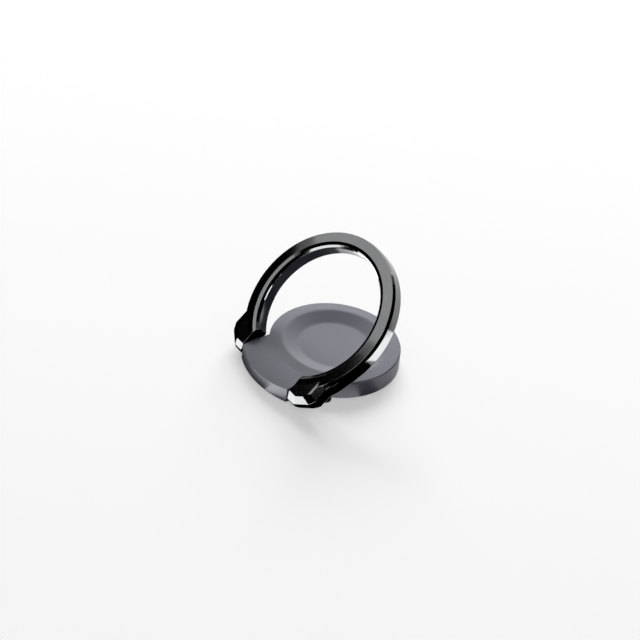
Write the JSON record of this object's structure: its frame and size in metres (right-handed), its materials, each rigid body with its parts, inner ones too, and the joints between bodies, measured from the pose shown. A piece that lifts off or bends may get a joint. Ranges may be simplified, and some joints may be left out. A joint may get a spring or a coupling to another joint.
{
  "type": "phone ring holder",
  "caption": "Round stick-on phone grip with a shallow finger dish and an open ring that folds flat round it on a friction hinge in a short tongue.",
  "frame": {"origin": "Middle of the round bonding face, under the centre of the finger dish", "axes": "+Z points away from the phone out of the dish, -Y points to the tongue and its hinge, and X is along the hinge's axis. The ring is open at 44 degrees, as the picture shows it."},
  "size_m": [0.0382, 0.0361, 0.0287],
  "materials": {
    "housing_grey": "matte mid-grey soft coat",
    "ring_chrome": "glossy black chrome plating",
    "pad_foam": "thin black acrylic foam adhesive",
    "plate_steel": "plain steel",
    "cast_alloy": "as-cast grey alloy",
    "sleeve_bronze": "plain bearing bronze",
    "washer_black": "black low-friction plastic"
  },
  "bodies": {
    "root": {"housing": "housing_grey", "adhesive_pad": "pad_foam", "base_plate": "plate_steel", "plate_screws": "plate_steel", "steel_disc": "plate_steel", "hinge_block": "cast_alloy", "block_screws": "plate_steel", "friction_sleeve_left": "sleeve_bronze", "friction_sleeve_right": "sleeve_bronze", "hinge_washer_left": "washer_black", "hinge_washer_right": "washer_black"},
    "ring_body": {"ring": "ring_chrome", "hinge_pin_left": "plate_steel", "hinge_pin_right": "plate_steel"}
  },
  "joints": [
    {"name": "ring_hinge", "type": "hinge", "parent": "root", "child": "ring_body", "pos_m": [0, -0.0173, 0.0019], "axis": [1, 0, 0], "range_deg": [-44, 91]}
  ]
}
